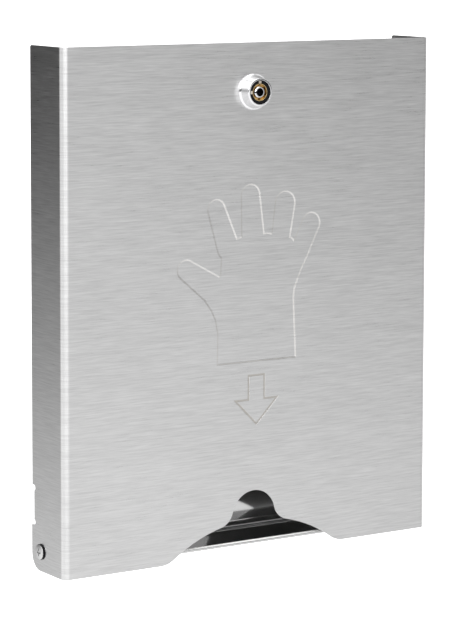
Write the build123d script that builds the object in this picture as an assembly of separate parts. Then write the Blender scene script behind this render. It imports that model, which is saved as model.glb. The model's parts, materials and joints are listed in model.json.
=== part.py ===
from build123d import *

import os
from math import atan2, cos, degrees, hypot, radians, sin

# Wall dispenser for disposable gloves: a folded back plate, a hinged front cover and a tubular key lock.
# Millimetres. X runs to the right, Y towards the wall and Z up. The wall is the plane Y = 0, and the
# origin is the centre of the four wall holes, at mid height of the cover.

# Overall sizes
WIDTH = 270.0
HEIGHT = 320.0
DEPTH = 41.6
SHEET = 1.0

# Front cover
COVER_BEND = 4.0  # outside radius of the two upright front bends
WALL_GAP = 1.6  # between the lower back edges and the wall
UPPER_SETBACK = 0.8  # the long back edge stands this much further from the wall
TOP_CORNER = 1.6
FOOT_CORNER = 10.0  # rounds the lower back corners, so that they clear the wall when the cover swings

# Dispensing slot in the front panel
SLOT_ARC = 102.5
SLOT_RISE = 21.6
SLOT_ENDS = 15.5  # radius where the slot runs out into the bottom edge
THUMB_RADIUS = 16.2
THUMB_HEIGHT = 23.6
THUMB_BLEND = 11.5
SLOT_ASIDE = 1.2  # its middle lies this far to the right of the panel's middle

# Pictogram pressed into the front panel: a sunk glove with sloped walls, and an outlined arrow
EMBLEM_ASIDE = 2.7  # its middle lies this far to the right of the panel's middle
GLOVE_DEPTH = 0.3
GLOVE_SLOPE = 0.9  # width of the sloped wall, seen from the front
GLOVE_FOOT = 121.0  # height of the cuff above the bottom edge
ARROW_TIP = 80.9
ARROW_GROOVE = 1.3
ARROW_DEPTH = 0.2

# Hinge
PIVOT_BACK = 12.6
PIVOT_HEIGHT = 12.0
PIVOT_SHOULDER = 6.0
PIVOT_PLAY = 0.05
THREAD = 5.0
THREAD_PLAY = 0.05
HEAD_DIAMETER = 9.6
HEAD_HEIGHT = 2.8
SHOULDER_END = 0.1  # end float between screw head and cover
NUT_FLATS = 8.0
NUT_HEIGHT = 4.0
WASHER_DIAMETER = 12.0
WASHER_FLOAT = 0.1
OPEN_ANGLE = 75.0

# Opening stops: two tabs folded in from the cover's back edges
TAB_FOOT = 30.8
TAB_HEIGHT = 17.7
TAB_REACH = 9.0
TAB_SETBACK = 1.9
TAB_BEND = 1.5
RELIEF_WIDTH = 3.6
RELIEF_DEPTH = 4.4
STOP_GAP = 0.3

# Back plate
SIDE_GAP = 1.0
BASE_BEND = 2.0
EAR_FOOT = 2.5
EAR_FRONT_GAP = 2.5  # between the ear's front edge and the inside of the front panel
EAR_RADIUS = 17.5
EAR_CORNER = 6.0
FLANGE_FOOT = 57.0
FLANGE_DEPTH = 16.0
FLANGE_TOP_GAP = 3.0
FLANGE_CORNER = 4.0
TAB_CLEARANCE = 1.5
ROOF_DROP = 4.0  # the top flange lies this far below the cover's top edge
ROOF_BEND = 2.0
END_GAP = 1.2

# Trough at the foot of the back plate
TROUGH_TOP = 7.5
TROUGH_BEND = 4.0  # inside radius
LIP_GAP = 2.0
HEM_LENGTH = 8.5
HEM_DROP = 1.5
HEM_BEND = 0.65

# Wall holes
HOLE_RADIUS = 3.0
HOLE_SPACING_X = 190.0
HOLE_SPACING_Z = 200.0

# Pins that the glove pack hangs on
PIN_SPACING = 110.0
PIN_FROM_TOP = 48.0
PIN_DIAMETER = 5.0
PIN_LENGTH = 24.0
PIN_FOOT = 10.0
PIN_FOOT_HEIGHT = 1.2

# Lock
LOCK_FROM_TOP = 30.5
BEZEL_DIAMETER = 22.5
BEZEL_RIM = 1.6
BEZEL_FACE = 17.6
BEZEL_HEIGHT = 7.6
BARREL_DIAMETER = 19.0
BARREL_FLATS = 16.0
BARREL_LENGTH = 20.0
BARREL_PLAY = 0.1
RING_DIAMETER = 15.0
RING_HEIGHT = 5.0
RING_BORE = 11.0
RING_SINK = 0.3
KEY_MARK = 1.7
PLUG_DIAMETER = 13.3
PLUG_NOSE = 10.9
PLUG_PLAY = 0.05
KEYWAY_OUTER = 10.0
KEYWAY_DEPTH = 5.5
POST_DIAMETER = 7.2
POST_RECESS = 4.4
POST_RECESS_DEPTH = 4.0
POST_NUB = 1.2
PIN_COUNT = 7
PIN_SIZE = 1.3
PIN_STAND = 1.0
LOCK_NUT_FLATS = 24.0
LOCK_NUT_HEIGHT = 3.0
LOCK_WASHER_DIAMETER = 25.0
LOCK_WASHER_HEIGHT = 0.8
TANG_SIZE = 8.0
CAM_GAP = 0.2
CAM_THICKNESS = 2.0
CAM_WIDTH = 14.0
CAM_HOLD = 6.0  # how far the cam reaches up behind the catch
CAM_CATCH_GAP = 1.2
CAM_SCREW_FLANGE = 13.0
CAM_SCREW_FLANGE_HEIGHT = 1.0
CAM_SCREW_FLATS = 8.0
CAM_SCREW_HEIGHT = 3.0
CAM_SCREW_THREAD = 4.0
CAM_SCREW_DEPTH = 8.0

# Catch bracket on the back plate, for the cam
CATCH_SHEET = 1.5
CATCH_WIDTH = 34.0
CATCH_OVER_BARREL = 4.5
CATCH_OVER_CAM = 2.5
CATCH_FOOT_LENGTH = 24.0
CATCH_BEND = 0.8  # inside radius
RIVET_SPACING = 20.0
RIVET_HEAD = 7.0
RIVET_HEAD_HEIGHT = 1.4
RIVET_DOWN = 14.0  # from the bracket's top to the rivets

# Places worked out from the sizes
BOTTOM = -HEIGHT / 2
TOP = HEIGHT / 2
HALF_WIDTH = WIDTH / 2
FRONT = -DEPTH
PANEL_INSIDE = FRONT + SHEET
PIVOT_Y = -PIVOT_BACK
PIVOT_Z = BOTTOM + PIVOT_HEIGHT
LOCK_Z = TOP - LOCK_FROM_TOP
EAR_OUTSIDE = HALF_WIDTH - SHEET - SIDE_GAP
EAR_INSIDE = EAR_OUTSIDE - SHEET
EAR_FRONT = PANEL_INSIDE + EAR_FRONT_GAP
TAB_BACK = -WALL_GAP - TAB_SETBACK
TAB_FRONT = TAB_BACK - SHEET
TAB_Z = BOTTOM + TAB_FOOT
BARREL_END = PANEL_INSIDE + BARREL_LENGTH
CAM_FRONT = BARREL_END + CAM_GAP
CATCH_BACK = CAM_FRONT - CAM_CATCH_GAP
CATCH_LIP_FOOT = LOCK_Z + BARREL_DIAMETER / 2 + CATCH_OVER_BARREL
CAM_LENGTH = BARREL_DIAMETER / 2 + CATCH_OVER_BARREL + CAM_HOLD
CATCH_TOP = LOCK_Z + CAM_LENGTH + CATCH_OVER_CAM + CATCH_SHEET
ROOF_TOP = TOP - ROOF_DROP
RING_FRONT = FRONT - BEZEL_HEIGHT + RING_SINK
RING_BACK = RING_FRONT + RING_HEIGHT
SLOT_BLANK = 60.0  # height of the strip of front panel that the slot is drawn in


def channel(half_width, closed_y, open_y, wall, bend):
    """Plan section of a folded channel: a panel at closed_y and two sides that run to open_y."""
    towards = 1 if open_y > closed_y else -1
    length = abs(open_y - closed_y)
    middle = (open_y + closed_y) / 2
    outer = Pos(0, middle) * Rectangle(2 * half_width, length)
    outer = fillet(outer.vertices().sort_by(Axis.Y, reverse=towards < 0)[:2], bend)
    inner = Pos(0, middle + towards * wall) * Rectangle(2 * (half_width - wall), length)
    inner = fillet(inner.vertices().sort_by(Axis.Y, reverse=towards < 0)[:2], bend - wall)
    return outer - inner


def raised(section, low, high):
    """A plan section extruded from height low to height high."""
    return Pos(0, 0, low) * extrude(section, high - low)


def across(face, low, high):
    """A section drawn as (Y, Z) and extruded along X from low to high."""
    return Pos(low, 0, 0) * extrude(Plane.YZ * face, high - low)


def through(face, near, far):
    """A section drawn as (X, Z) and extruded along Y from near to far."""
    return Pos(0, near, 0) * extrude(Plane.XZ * face, -(far - near))


def span(low_a, high_a, low_b, high_b):
    """A rectangle given by its two ranges."""
    place = Pos((low_a + high_a) / 2, (low_b + high_b) / 2)
    return place * Rectangle(high_a - low_a, high_b - low_b)


def folded_strip(points, radii, length, sheet):
    """A sheet folded along a (Y, Z) line through its middle, centred on X."""
    path = FilletPolyline(*points, radius=radii)
    return across(trace(path, sheet), -length / 2, length / 2)


def both_sides(solid):
    """A piece and its mirror image on the other side of X = 0."""
    return solid + mirror(solid, Plane.YZ)


def slot_outline():
    """The area that the dispensing slot takes out of the front panel's foot."""
    sheet = span(-HALF_WIDTH, HALF_WIDTH, BOTTOM, BOTTOM + SLOT_BLANK)
    arc_middle = BOTTOM + SLOT_RISE - SLOT_ARC
    sheet -= Pos(0, arc_middle) * Circle(SLOT_ARC)
    sheet -= Pos(0, BOTTOM + THUMB_HEIGHT) * Circle(THUMB_RADIUS)
    inner = [v for v in sheet.vertices() if abs(v.X) < 2 * THUMB_RADIUS]
    sheet = fillet(inner, THUMB_BLEND)
    ends = [v for v in sheet.vertices() if abs(v.X) < HALF_WIDTH - 1 and v.Y < BOTTOM + 1]
    sheet = fillet(ends, SLOT_ENDS)
    panel = span(-HALF_WIDTH + COVER_BEND, HALF_WIDTH - COVER_BEND, BOTTOM - 5, BOTTOM + SLOT_BLANK)
    return panel - Pos(SLOT_ASIDE, 0) * sheet


def finger(base_x, base_z, base_radius, tip_x, tip_z, tip_radius):
    """A tapered finger: two circles and the two lines that touch both of them."""
    length = hypot(tip_x - base_x, tip_z - base_z)
    heading = atan2(tip_z - base_z, tip_x - base_x)
    lean = atan2(base_radius - tip_radius, length)
    corners = []
    for side, order in ((1, (0, 1)), (-1, (1, 0))):
        angle = heading + side * (radians(90) - lean)
        ends = [
            (base_x + base_radius * cos(angle), base_z + base_radius * sin(angle)),
            (tip_x + tip_radius * cos(angle), tip_z + tip_radius * sin(angle)),
        ]
        corners += [ends[i] for i in order]
    shape = make_face(Polyline(*corners, close=True))
    shape += Pos(base_x, base_z) * Circle(base_radius)
    shape += Pos(tip_x, tip_z) * Circle(tip_radius)
    return shape


def palm_outline(grow):
    """The glove's palm and cuff, measured from the middle of the cuff and grown all round."""
    right = [(29.9, 0), (28.1, 38), (28.8, 44), (31, 49.5), (37.4, 63)]
    left = [(-26, 73), (-27, 56.5), (-38, 40), (-33.8, 34.5), (-30.8, 28.5), (-29, 20), (-29.3, 0)]
    palm = make_face(Polyline(*right, (26.5, 76.5), (8, 80.5), (-12.5, 79), *left, close=True))
    return offset(palm, grow, kind=Kind.INTERSECTION)


def sunk_glove():
    """The cutter of the sunk glove: palm and fingers, each with walls that slope inwards."""
    slope = GLOVE_SLOPE / GLOVE_DEPTH
    lead = GLOVE_DEPTH / 2  # the cutter starts this far in front of the panel
    grow = lead * slope
    fingers = [
        (-30.5, 46.5, 9.4, -51.5, 60.8, 6.8),
        (-21.2, 73, 8.3, -29.7, 96.8, 6.7),
        (-2.8, 79, 8.7, -4.6, 104.4, 7.2),
        (17.8, 76, 7.2, 21.2, 98.2, 7.8),
        (30.2, 63.5, 7.2, 40.9, 84.5, 7.1),
    ]
    outlines = [palm_outline(grow)]
    for base_x, base_z, base_radius, tip_x, tip_z, tip_radius in fingers:
        outlines.append(finger(base_x, base_z, base_radius + grow, tip_x, tip_z, tip_radius + grow))
    place = Pos(EMBLEM_ASIDE, FRONT - lead, BOTTOM + GLOVE_FOOT)
    cutter = None
    for outline in outlines:
        sunk = extrude(Plane.XZ * outline, -(lead + GLOVE_DEPTH), taper=degrees(atan2(slope, 1)))
        cutter = place * sunk if cutter is None else cutter + place * sunk
    return cutter


def arrow_outline():
    """A block arrow that points down at the slot."""
    tip, shoulder, tail = 0, 17.1, 32.3
    head, stem = 17.0, 6.5
    half = [(0, tip), (head, shoulder), (stem, shoulder), (stem, tail)]
    left = [(-x, z) for x, z in reversed(half[1:])]
    return Pos(EMBLEM_ASIDE, BOTTOM + ARROW_TIP) * make_face(Polyline(*half, *left, close=True))


def arrow_groove():
    """The cutter of the arrow's outline."""
    outline = arrow_outline()
    inside = offset(outline, -ARROW_GROOVE, kind=Kind.INTERSECTION)
    return through(outline - inside, FRONT - 1, FRONT + ARROW_DEPTH)


def front_cover():
    """Folded cover: front panel, two sides, dispensing slot, stop tabs, lock and pivot holes."""
    cover = raised(channel(HALF_WIDTH, FRONT, -WALL_GAP, SHEET, COVER_BEND), BOTTOM, TOP)
    upper_edge = -WALL_GAP - UPPER_SETBACK
    tab_top = TAB_Z + TAB_HEIGHT
    away = span(upper_edge, 1, tab_top, TOP + 1)
    away += span(TAB_BACK - TAB_BEND, 1, TAB_Z, tab_top)
    for height in (TAB_Z - RELIEF_WIDTH / 2, tab_top + RELIEF_WIDTH / 2):
        end = -WALL_GAP - RELIEF_DEPTH + RELIEF_WIDTH / 2
        away += Pos(end, height) * Circle(RELIEF_WIDTH / 2)
        away += span(end, 1, height - RELIEF_WIDTH / 2, height + RELIEF_WIDTH / 2)
    foot_y = -WALL_GAP - FOOT_CORNER
    foot_z = BOTTOM + FOOT_CORNER
    away += span(foot_y, 1, BOTTOM - 1, foot_z) - Pos(foot_y, foot_z) * Circle(FOOT_CORNER)
    corner = span(upper_edge - TOP_CORNER, 1, TOP - TOP_CORNER, TOP + 1)
    away += corner - Pos(upper_edge - TOP_CORNER, TOP - TOP_CORNER) * Circle(TOP_CORNER)
    cover -= across(away, -WIDTH, WIDTH)
    tab = channel(HALF_WIDTH, TAB_BACK, TAB_BACK - TAB_BEND, SHEET, TAB_BEND)
    tab -= span(-HALF_WIDTH + TAB_REACH, HALF_WIDTH - TAB_REACH, FRONT, 0)
    cover += raised(tab, TAB_Z, tab_top)
    cover -= through(slot_outline(), FRONT - 1, PANEL_INSIDE + 1)
    cover -= sunk_glove()
    cover -= arrow_groove()
    hole_radius = BARREL_DIAMETER / 2 + BARREL_PLAY
    lock_hole = Circle(hole_radius) & Rectangle(BARREL_FLATS + 2 * BARREL_PLAY, BARREL_DIAMETER + 1)
    cover -= through(Pos(0, LOCK_Z) * lock_hole, FRONT - 1, PANEL_INSIDE + 1)
    pivot_hole = Pos(PIVOT_Y, PIVOT_Z) * Circle(PIVOT_SHOULDER / 2 + PIVOT_PLAY)
    return cover - across(pivot_hole, -WIDTH, WIDTH)


def ear_outline():
    """Side view of an ear: round under the tab's path, with a shoulder that the tab lands on."""
    swing = radians(OPEN_ANGLE)
    tab_arm = PIVOT_Y - TAB_FRONT  # negative: the tab lies behind the pivot
    reach = -tab_arm - STOP_GAP

    def on_stop(along):
        forward = along * sin(swing) - reach * cos(swing)
        up = along * cos(swing) + reach * sin(swing)
        return PIVOT_Y - forward, PIVOT_Z + up

    start = on_stop(0)
    slope = (on_stop(1)[1] - start[1]) / (on_stop(1)[0] - start[0])
    at_front = (EAR_FRONT, start[1] + slope * (EAR_FRONT - start[0]))
    under_stop = make_face(
        Polyline(start, at_front, (EAR_FRONT, PIVOT_Z), (PIVOT_Y, PIVOT_Z), close=True)
    )
    foot = span(EAR_FRONT, 0, BOTTOM + EAR_FOOT, PIVOT_Z)
    foot = fillet(foot.vertices().group_by(Axis.X)[0].sort_by(Axis.Y)[0], EAR_CORNER)
    crown = Pos(PIVOT_Y, PIVOT_Z) * Circle(EAR_RADIUS) & span(-DEPTH, 0, PIVOT_Z, TOP)
    return foot + crown + under_stop


def flange_outline():
    """Side view of an upper side flange."""
    shape = span(-FLANGE_DEPTH, 0, BOTTOM + FLANGE_FOOT, ROOF_TOP - FLANGE_TOP_GAP)
    return fillet(shape.vertices().group_by(Axis.X)[0], FLANGE_CORNER)


def back_plate():
    """Folded wall plate: two ears, two side flanges, a top flange, and the trough at its foot."""
    plate = raised(channel(EAR_OUTSIDE, 0, EAR_FRONT, SHEET, BASE_BEND), BOTTOM + EAR_FOOT, ROOF_TOP)
    side_area = span(EAR_FRONT - 1, -BASE_BEND, BOTTOM, TOP) - ear_outline() - flange_outline()
    plate -= across(side_area, -WIDTH, WIDTH)
    ear_top = PIVOT_Z + EAR_RADIUS * sin(radians(60))
    cut_foot = min(ear_top, TAB_Z - RELIEF_WIDTH / 2) - TAB_CLEARANCE
    cut_edge = HALF_WIDTH - TAB_REACH - TAB_CLEARANCE
    window = span(cut_edge, HALF_WIDTH, cut_foot, BOTTOM + FLANGE_FOOT)
    corner = span(cut_edge, HALF_WIDTH, ROOF_TOP - FLANGE_TOP_GAP, TOP)
    plate -= both_sides(through(window + corner, EAR_FRONT - 1, 1))
    bend_start = BOTTOM + TROUGH_TOP + TROUGH_BEND
    plate -= across(span(-BASE_BEND, 1, BOTTOM, bend_start), -WIDTH, WIDTH)
    plate -= across(span(-ROOF_BEND, 1, ROOF_TOP - ROOF_BEND, TOP), -WIDTH, WIDTH)
    half = SHEET / 2
    inside_length = 2 * (EAR_INSIDE - END_GAP)
    floor = BOTTOM + TROUGH_TOP - half
    lip = PANEL_INSIDE + LIP_GAP + half
    hem_floor = floor - HEM_DROP
    trough = [(-half, bend_start + 1), (-half, floor), (lip, floor), (lip, hem_floor)]
    trough.append((lip + HEM_LENGTH, hem_floor))
    plate += folded_strip(trough, [TROUGH_BEND + half, HEM_BEND, HEM_BEND], inside_length, SHEET)
    roof = ROOF_TOP - half
    roof_line = [(-half, ROOF_TOP - ROOF_BEND - 1), (-half, roof), (-FLANGE_DEPTH, roof)]
    plate += folded_strip(roof_line, [ROOF_BEND - half], inside_length, SHEET)
    for x in (-HOLE_SPACING_X / 2, HOLE_SPACING_X / 2):
        for z in (-HOLE_SPACING_Z / 2, HOLE_SPACING_Z / 2):
            plate -= through(Pos(x, z) * Circle(HOLE_RADIUS), -SHEET - 1, 1)
    thread_hole = Pos(PIVOT_Y, PIVOT_Z) * Circle(THREAD / 2 + 2 * THREAD_PLAY)
    return plate - across(thread_hole, -WIDTH, WIDTH)


def catch_bracket():
    """Folded bracket riveted to the back plate; the cam turns up behind its lip."""
    half = CATCH_SHEET / 2
    foot_y = -SHEET - half
    lip_y = CATCH_BACK - half
    arm_z = CATCH_TOP - half
    line = [(foot_y, CATCH_TOP - CATCH_FOOT_LENGTH), (foot_y, arm_z), (lip_y, arm_z), (lip_y, CATCH_LIP_FOOT)]
    bracket = folded_strip(line, [CATCH_BEND + half, CATCH_BEND + half], CATCH_WIDTH, CATCH_SHEET)
    foot = (Align.CENTER, Align.CENTER, Align.MIN)
    head = Cone(RIVET_HEAD / 2, RIVET_HEAD / 3, RIVET_HEAD_HEIGHT, align=foot)
    for x in (-RIVET_SPACING / 2, RIVET_SPACING / 2):
        bracket += Location((x, -SHEET - CATCH_SHEET, CATCH_TOP - RIVET_DOWN), (90, 0, 0)) * head
    return bracket


def pivot_place(side):
    """The pivot's axis, with its local Z pointing outwards on that side."""
    return Location((0, PIVOT_Y, PIVOT_Z), (0, side * 90, 0))


def cross_recess(size, width, depth):
    """The cutter of a cross recess, its mouth at Z = 0."""
    arm = Pos(0, 0, -depth / 2) * Box(size, width, depth)
    return arm + Rot(0, 0, 90) * arm


def pivot_screw(side):
    """Shoulder screw: domed head, plain shoulder in the cover, thread in the ear's nut."""
    head_foot = HALF_WIDTH + SHOULDER_END
    thread_end = EAR_INSIDE - NUT_HEIGHT - 1
    thread_radius = THREAD / 2 - THREAD_PLAY
    crown = HEAD_DIAMETER / 2
    shoulder = PIVOT_SHOULDER / 2
    profile = [
        (0, thread_end), (thread_radius, thread_end), (thread_radius, EAR_OUTSIDE),
        (shoulder, EAR_OUTSIDE), (shoulder, head_foot), (crown, head_foot),
        (crown, head_foot + HEAD_HEIGHT * 0.45), (crown * 0.68, head_foot + HEAD_HEIGHT),
        (0, head_foot + HEAD_HEIGHT),
    ]
    body = revolve(Plane.XZ * make_face(Polyline(*profile, close=True)), Axis.Z)
    body -= Pos(0, 0, head_foot + HEAD_HEIGHT) * cross_recess(5.0, 1.1, 1.7)
    return pivot_place(side) * body


def hex_nut(flats, height, bore, chamfer_size):
    """Hexagon nut standing on Z = 0, with the corners of its upper face turned off."""
    corner = flats / cos(radians(30)) / 2
    nut = extrude(RegularPolygon(corner, 6) - Circle(bore), height)
    top = corner - chamfer_size
    profile = [(0, 0), (corner, 0), (corner, height - chamfer_size), (top, height), (0, height)]
    return nut & revolve(Plane.XZ * make_face(Polyline(*profile, close=True)), Axis.Z)


def pivot_nut(side):
    """Nut welded to the inside of the ear."""
    nut = Rot(180, 0, 30) * hex_nut(NUT_FLATS, NUT_HEIGHT, THREAD / 2, 0.6)
    return pivot_place(side) * Pos(0, 0, EAR_INSIDE) * nut


def pivot_washer(side):
    """Plastic washer between the ear and the cover's side."""
    ring = Circle(WASHER_DIAMETER / 2) - Circle(PIVOT_SHOULDER / 2 + PIVOT_PLAY)
    washer = extrude(ring, SIDE_GAP - 2 * WASHER_FLOAT)
    return pivot_place(side) * Pos(0, 0, EAR_OUTSIDE + WASHER_FLOAT) * washer


def hanger_pin(side):
    """Stud on the back plate that the glove pack hangs on, with a welded foot and a chamfered tip."""
    radius = PIN_DIAMETER / 2
    shank = [
        (0, 0), (PIN_FOOT / 2, 0), (radius, PIN_FOOT_HEIGHT), (radius, PIN_LENGTH - radius / 2),
        (radius / 2, PIN_LENGTH), (0, PIN_LENGTH),
    ]
    pin = revolve(Plane.XZ * make_face(Polyline(*shank, close=True)), Axis.Z)
    place = Location((side * PIN_SPACING / 2, -SHEET, TOP - PIN_FROM_TOP), (90, 0, 0))
    return place * pin


def lock_turning(points):
    """A piece turned about the lock's axis, from (radius, Y) points."""
    face = make_face(Polyline(*points, close=True))
    return Pos(0, 0, LOCK_Z) * revolve(Plane.XY * face, Axis.Y)


def lock_section(face, near, far):
    """A section round the lock's axis, as (X, Z), extruded from near to far."""
    return Pos(0, 0, LOCK_Z) * through(face, near, far)


def lock_housing():
    """Bezel and threaded barrel with two flats, bored for the face ring and the plug."""
    face_y = FRONT - BEZEL_HEIGHT
    rim_y = FRONT - BEZEL_RIM
    bezel, face, barrel = BEZEL_DIAMETER / 2, BEZEL_FACE / 2, BARREL_DIAMETER / 2
    housing = lock_turning(
        [
            (0, face_y), (face - 0.5, face_y), (face, face_y + 0.5), (bezel - 1.1, rim_y - 0.2),
            (bezel, rim_y + 0.5), (bezel, FRONT), (0, FRONT),
        ]
    )
    flatted = Circle(barrel) & Rectangle(BARREL_FLATS, BARREL_DIAMETER + 1)
    housing += lock_section(flatted, FRONT, BARREL_END)
    housing -= lock_section(Circle(RING_DIAMETER / 2 + PLUG_PLAY), face_y - 1, RING_BACK)
    return housing - lock_section(Circle(PLUG_DIAMETER / 2 + PLUG_PLAY), RING_BACK, BARREL_END + 1)


def lock_face_ring():
    """Black ring round the keyway, with a key mark at nine and at twelve o'clock."""
    ring = Circle(RING_DIAMETER / 2) - Circle(RING_BORE / 2)
    for angle in (90, 180):
        ring -= Rot(0, 0, angle) * Pos(RING_BORE / 2, 0) * Rectangle(KEY_MARK, KEY_MARK)
    return lock_section(ring, RING_FRONT, RING_BACK)


def lock_plug():
    """Turning plug: nose with the round keyway, body, and the square tang for the cam."""
    nose, body = PLUG_NOSE / 2, PLUG_DIAMETER / 2
    back = CAM_FRONT + CAM_THICKNESS - 0.2
    plug = lock_section(Circle(nose), RING_FRONT + 0.2, RING_BACK + PLUG_PLAY)
    plug += lock_section(Circle(body), RING_BACK + PLUG_PLAY, BARREL_END)
    plug += lock_section(Rectangle(TANG_SIZE, TANG_SIZE), BARREL_END, back)
    plug -= lock_section(Circle(KEYWAY_OUTER / 2), RING_FRONT - 1, RING_FRONT + KEYWAY_DEPTH)
    plug -= lock_section(Circle(POST_DIAMETER / 2 - 1), RING_FRONT, RING_FRONT + KEYWAY_DEPTH + 4)
    screw_hole = Circle(CAM_SCREW_THREAD / 2 + THREAD_PLAY)
    return plug - lock_section(screw_hole, back - CAM_SCREW_DEPTH - 1, back + 1)


def lock_post():
    """Centre post of the keyway, recessed, with the nub that sets the key."""
    radius = POST_DIAMETER / 2
    front = RING_FRONT + 0.1
    stem_back = RING_FRONT + KEYWAY_DEPTH + 3.8
    post = lock_turning(
        [
            (POST_RECESS / 2, front), (radius - 0.5, front), (radius, front + 0.5),
            (radius, RING_FRONT + KEYWAY_DEPTH), (radius - 1.05, RING_FRONT + KEYWAY_DEPTH),
            (radius - 1.05, stem_back), (0, stem_back), (0, front + POST_RECESS_DEPTH),
            (POST_RECESS / 2, front + POST_RECESS_DEPTH),
        ]
    )
    nub = Pos(-radius, 0) * Rectangle(POST_NUB, POST_NUB) - Circle(radius - 0.3)
    return post + lock_section(nub, front + 0.3, front + 3)


def lock_pins():
    """Seven pin tumblers that stand in the foot of the keyway."""
    middle = (KEYWAY_OUTER + POST_DIAMETER) / 4
    foot = RING_FRONT + KEYWAY_DEPTH
    marks = Sketch()
    for i in range(PIN_COUNT):
        angle = 180 + (i + 0.5) * 360 / PIN_COUNT
        marks += Rot(0, 0, angle) * Pos(middle, 0) * Circle(PIN_SIZE / 2)
    return lock_section(marks, foot - PIN_STAND, foot)


def lock_washer():
    """Tooth-edged washer under the lock nut."""
    blank = Circle(LOCK_WASHER_DIAMETER / 2) - Circle(BARREL_DIAMETER / 2 + BARREL_PLAY)
    notch = Rectangle(2.4, 2.0)
    teeth = 10
    for i in range(teeth):
        blank -= Rot(0, 0, i * 360 / teeth) * Pos(LOCK_WASHER_DIAMETER / 2, 0) * notch
    return lock_section(blank, PANEL_INSIDE, PANEL_INSIDE + LOCK_WASHER_HEIGHT)


def lock_nut():
    """Thin hexagon nut that clamps the housing to the front panel."""
    nut = hex_nut(LOCK_NUT_FLATS, LOCK_NUT_HEIGHT, BARREL_DIAMETER / 2 + THREAD_PLAY, 1.0)
    foot = PANEL_INSIDE + LOCK_WASHER_HEIGHT
    return Location((0, foot, LOCK_Z), (-90, 0, 0)) * nut


def lock_cam():
    """Flat cam on the plug's tang; at rest it points to nine o'clock, clear of the catch."""
    half = CAM_WIDTH / 2
    tip = CAM_LENGTH - half * 0.7
    cam = Circle(half) + span(-tip, 0, -half, half)
    tip_round = Pos(-tip, 0) * Rectangle(half * 1.4, CAM_WIDTH)
    cam += fillet(tip_round.vertices().group_by(Axis.X)[0], half * 0.6)
    cam -= Rectangle(TANG_SIZE + 0.1, TANG_SIZE + 0.1)
    return lock_section(cam, CAM_FRONT, CAM_FRONT + CAM_THICKNESS)


def cam_screw():
    """Flanged hexagon screw in the plug's end that holds the cam."""
    foot = CAM_FRONT + CAM_THICKNESS
    top = foot + CAM_SCREW_FLANGE_HEIGHT
    screw = lock_section(Circle(CAM_SCREW_THREAD / 2), foot - CAM_SCREW_DEPTH, foot)
    screw += lock_section(Circle(CAM_SCREW_FLANGE / 2), foot, top)
    hexagon = RegularPolygon(CAM_SCREW_FLATS / 2 / cos(radians(30)), 6)
    return screw + lock_section(hexagon, top, top + CAM_SCREW_HEIGHT)


def build():
    """Every piece by its node name."""
    pieces = {
        "front_cover": front_cover(),
        "back_plate": back_plate(),
        "catch_bracket": catch_bracket(),
        "lock_housing": lock_housing(),
        "lock_face_ring": lock_face_ring(),
        "lock_plug": lock_plug(),
        "lock_post": lock_post(),
        "lock_pins": lock_pins(),
        "lock_washer": lock_washer(),
        "lock_nut": lock_nut(),
        "lock_cam": lock_cam(),
        "cam_screw": cam_screw(),
    }
    for name, side in (("left", -1), ("right", 1)):
        pieces[f"pivot_screw_{name}"] = pivot_screw(side)
        pieces[f"pivot_nut_{name}"] = pivot_nut(side)
        pieces[f"pivot_washer_{name}"] = pivot_washer(side)
        pieces[f"hanger_pin_{name}"] = hanger_pin(side)
    return pieces


os.makedirs("parts", exist_ok=True)
for node, solid in build().items():
    export_step(solid, f"parts/{node}.step")
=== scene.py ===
"""Looks of the glove dispenser: finishes for its pieces, turned lock front and pivot screws, the studio.

Metres. X runs to the right, Y towards the wall and Z up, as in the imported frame.
"""

import json
import logging
import math
from dataclasses import dataclass, field
from enum import Enum
from functools import reduce

import bmesh
import bpy
import numpy as np
from mathutils import Matrix, Vector


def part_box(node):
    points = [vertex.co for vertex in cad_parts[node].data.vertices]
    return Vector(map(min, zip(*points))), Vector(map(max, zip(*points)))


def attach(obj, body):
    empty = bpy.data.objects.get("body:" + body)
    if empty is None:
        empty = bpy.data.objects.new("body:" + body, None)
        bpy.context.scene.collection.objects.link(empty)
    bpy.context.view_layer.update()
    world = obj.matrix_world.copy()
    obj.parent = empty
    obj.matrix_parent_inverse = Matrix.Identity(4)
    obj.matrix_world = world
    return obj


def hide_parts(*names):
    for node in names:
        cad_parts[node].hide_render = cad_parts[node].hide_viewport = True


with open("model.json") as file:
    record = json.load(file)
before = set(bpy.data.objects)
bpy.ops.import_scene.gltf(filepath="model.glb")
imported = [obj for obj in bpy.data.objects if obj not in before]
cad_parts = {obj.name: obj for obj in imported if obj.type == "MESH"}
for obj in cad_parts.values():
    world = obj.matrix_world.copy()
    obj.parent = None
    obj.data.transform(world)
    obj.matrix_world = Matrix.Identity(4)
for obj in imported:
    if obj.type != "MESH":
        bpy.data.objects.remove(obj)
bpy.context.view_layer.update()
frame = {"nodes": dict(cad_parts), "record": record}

LOG = logging.getLogger("dispenser")
MM = 0.001
MERGE = 0.01 * MM
SMOOTH_BELOW = math.radians(28)
LOCK_BODY = "cover"
SCREW_BODY = "base"
NUMBER, VECTOR = "NodeSocketFloat", "NodeSocketVector"
MIX_NUMBERS, MIX_VECTORS = (2, 3), (4, 5)

Colour = tuple[float, float, float]
Place = tuple[float, float, float]
Stops = list[tuple[float, float]]
Socket = bpy.types.NodeSocket


class Grain(Enum):
    """How a metal's fine lines run."""

    LEVEL = "level lines, as on brushed sheet"
    EVEN = "no lines, as on plated and turned pieces"


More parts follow.
